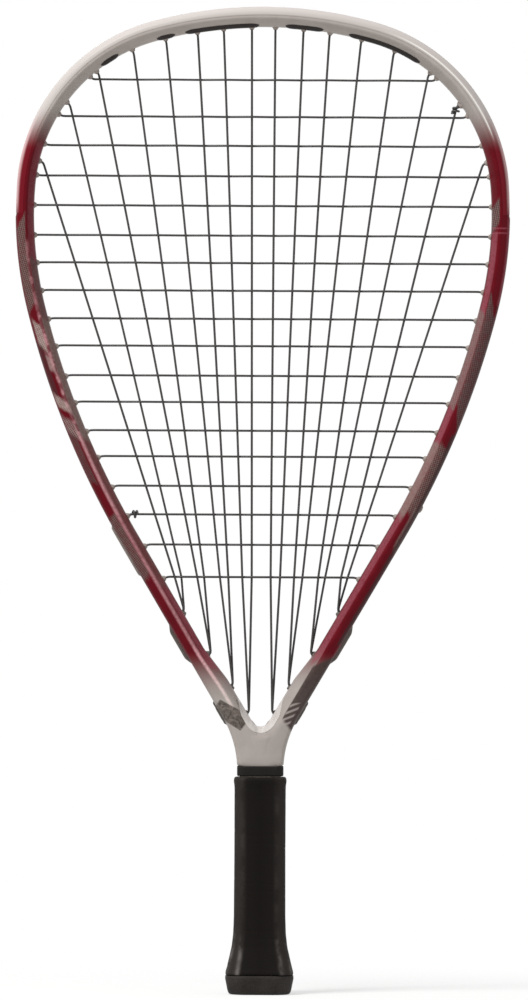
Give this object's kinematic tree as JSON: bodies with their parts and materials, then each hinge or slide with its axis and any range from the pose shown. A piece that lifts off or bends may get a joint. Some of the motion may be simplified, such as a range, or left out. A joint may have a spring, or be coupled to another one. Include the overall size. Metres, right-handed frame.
{
  "type": "racquetball racket",
  "caption": "Racquetball racket with a teardrop head on a short handle, a woven string bed, a bumper guard and a black grip that flares over the butt cap.",
  "frame": {"origin": "middle of the butt end, on the surface that the racket stands on", "axes": "+Z from the butt end to the crown, +X across the head, +Y through the head from the front, which looks towards -Y, to the back"},
  "size_m": [0.2798, 0.0362, 0.5588],
  "materials": {
    "frame_paint": "gloss red paint that fades to silver at the crown and the throat",
    "bridge_paint": "gloss silver paint",
    "clear_nylon": "translucent pale nylon",
    "dark_nylon": "dark moulded nylon",
    "string": "dark synthetic gut",
    "pallet": "moulded pallet",
    "cap_rubber": "matt black moulded cap",
    "grip_wrap": "matt black grained grip"
  },
  "bodies": {
    "root": {"frame": "frame_paint", "throat_bridge": "bridge_paint", "bumper_guard": "clear_nylon", "side_strip_right": "clear_nylon", "side_strip_left": "clear_nylon", "upper_string_guard_right": "dark_nylon", "lower_string_guard_right": "dark_nylon", "upper_string_guard_left": "dark_nylon", "lower_string_guard_left": "dark_nylon", "string_bed": "string", "pallet_front": "pallet", "pallet_back": "pallet", "butt_cap": "cap_rubber", "grip": "grip_wrap", "grip_collar": "cap_rubber"}
  },
  "joints": []
}
